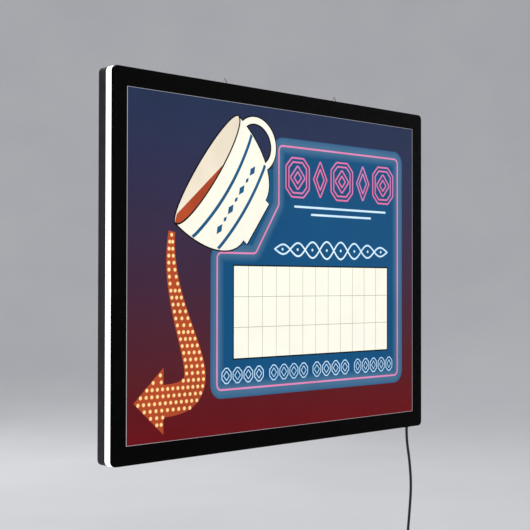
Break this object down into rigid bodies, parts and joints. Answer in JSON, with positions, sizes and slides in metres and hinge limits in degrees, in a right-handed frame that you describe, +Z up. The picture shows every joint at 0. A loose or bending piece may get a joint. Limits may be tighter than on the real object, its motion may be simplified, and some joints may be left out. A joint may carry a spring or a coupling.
{
  "type": "illuminated sign",
  "caption": "Flat rectangular illuminated wall sign with a black bezel, a glowing side band, a printed diner-style panel and a low-voltage lead.",
  "frame": {"origin": "centre of the sign's flat rear face, in the plane of the wall it hangs on", "axes": "+X to the right as seen from the front, +Y into the wall, +Z up; the lit front faces -Y"},
  "size_m": [0.5081, 0.024, 0.7242],
  "materials": {
    "bezel": "satin black acrylic",
    "print": "printed opal acrylic, lit from behind",
    "diffuser": "opal film",
    "clear_acrylic": "polished clear acrylic with a dot pattern",
    "reflector": "white film",
    "halo": "opal acrylic, lit from inside",
    "housing": "dark grey moulded plastic, fine texture",
    "screws": "black oxide",
    "label": "blank silver label",
    "strip": "white circuit board",
    "lamp": "phosphor",
    "jumper": "white insulation",
    "board": "green circuit board",
    "terminal": "moulded terminal block",
    "clamp": "natural nylon",
    "cord": "black flexible plastic jacket",
    "lead_red": "red insulation",
    "lead_black": "black insulation",
    "grommet": "black soft plastic",
    "hanger_steel": "zinc-plated steel",
    "tie": "black hook-and-loop tape",
    "adapter": "black moulded plastic, fine texture",
    "blades": "nickel-plated brass",
    "transformer": "taped winding",
    "capacitor": "sleeved can"
  },
  "bodies": {
    "root": {"front_bezel": "bezel", "front_panel": "print", "diffuser_sheet": "diffuser", "light_guide": "clear_acrylic", "reflector_sheet": "reflector", "halo_ring": "halo", "rear_housing": "housing", "housing_screws": "screws", "rating_label": "label", "led_strip_top": "strip", "led_strip_bottom": "strip", "led_strip_left": "strip", "led_strip_right": "strip", "leds_top": "lamp", "leds_bottom": "lamp", "leds_left": "lamp", "leds_right": "lamp", "strip_jumpers": "jumper", "input_board": "board", "board_screws": "screws", "terminal_block": "terminal", "lead_clamp": "clamp", "clamp_screws": "screws", "inner_lead": "cord", "lead_positive": "lead_red", "lead_negative": "lead_black", "cord_gland": "grommet", "hanger_strap_left": "hanger_steel", "hanger_strap_right": "hanger_steel", "hanger_screws": "screws", "power_cord": "cord", "cord_tail": "cord", "cord_coil": "cord", "coil_tie": "tie", "adapter_case": "adapter", "adapter_plate": "adapter", "adapter_blades": "blades", "adapter_relief": "grommet", "adapter_board": "board", "adapter_transformer": "transformer", "adapter_capacitor": "capacitor", "adapter_lead_end": "cord"},
    "ring_left": {"hanger_ring_left": "hanger_steel"},
    "ring_right": {"hanger_ring_right": "hanger_steel"}
  },
  "joints": [
    {"name": "ring_left_swing", "type": "hinge", "parent": "root", "child": "ring_left", "pos_m": [-0.0915, -0.0145, 0.2015], "axis": [1, 0, 0], "range_deg": [-60, 60]},
    {"name": "ring_right_swing", "type": "hinge", "parent": "root", "child": "ring_right", "pos_m": [0.0915, -0.0145, 0.2015], "axis": [1, 0, 0], "range_deg": [-60, 60]}
  ]
}
